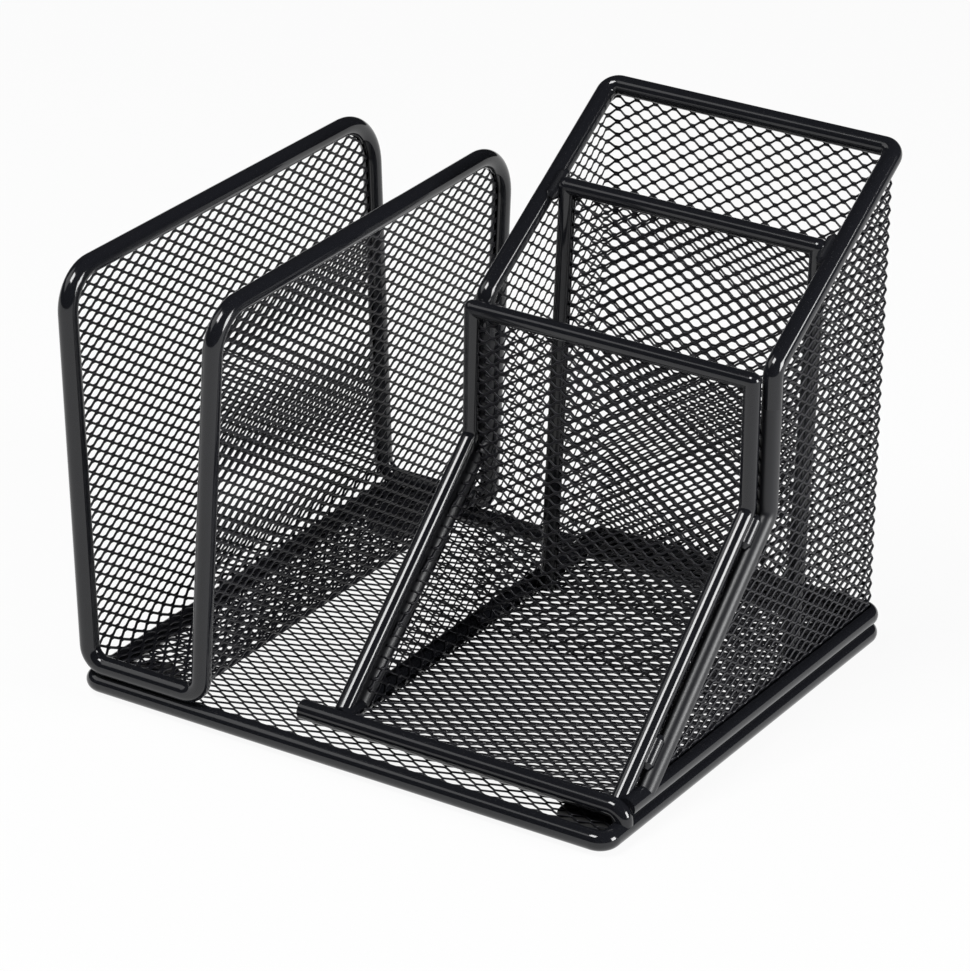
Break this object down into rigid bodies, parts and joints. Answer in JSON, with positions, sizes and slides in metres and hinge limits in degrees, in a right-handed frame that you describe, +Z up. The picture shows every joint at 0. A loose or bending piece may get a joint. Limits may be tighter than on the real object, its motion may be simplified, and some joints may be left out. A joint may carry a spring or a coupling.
{
  "type": "desk organizer",
  "caption": "Black wire-mesh desk organizer: splayed letter rack beside a stepped pen holder with a sloped front tray, on a rimmed mesh base.",
  "frame": {"origin": "middle of the overall footprint, on the table", "axes": "+Z up, -Y towards the user (letter rack on the left, pen holder on the right), +X to the user's right"},
  "size_m": [0.175, 0.151, 0.1514],
  "materials": {
    "frame_paint": "gloss",
    "mesh_paint": "satin",
    "pad_rubber": "matte"
  },
  "bodies": {
    "root": {"base_mesh": "mesh_paint", "letter_mesh": "mesh_paint", "pen_wall_mesh": "mesh_paint", "pen_floor_mesh": "mesh_paint", "front_divider_mesh": "mesh_paint", "middle_divider_mesh": "mesh_paint", "base_rim": "frame_paint", "letter_left_rim": "frame_paint", "letter_right_rim": "frame_paint", "letter_front_floor_rim": "frame_paint", "letter_back_floor_rim": "frame_paint", "pen_top_rim": "frame_paint", "pen_left_front_rim": "frame_paint", "pen_right_front_rim": "frame_paint", "pen_bottom_rim": "frame_paint", "front_bar": "frame_paint", "tray_frame": "frame_paint", "middle_divider_rim": "frame_paint", "tray_welds": "frame_paint", "divider_welds": "frame_paint", "foot_pads": "pad_rubber"}
  },
  "joints": []
}
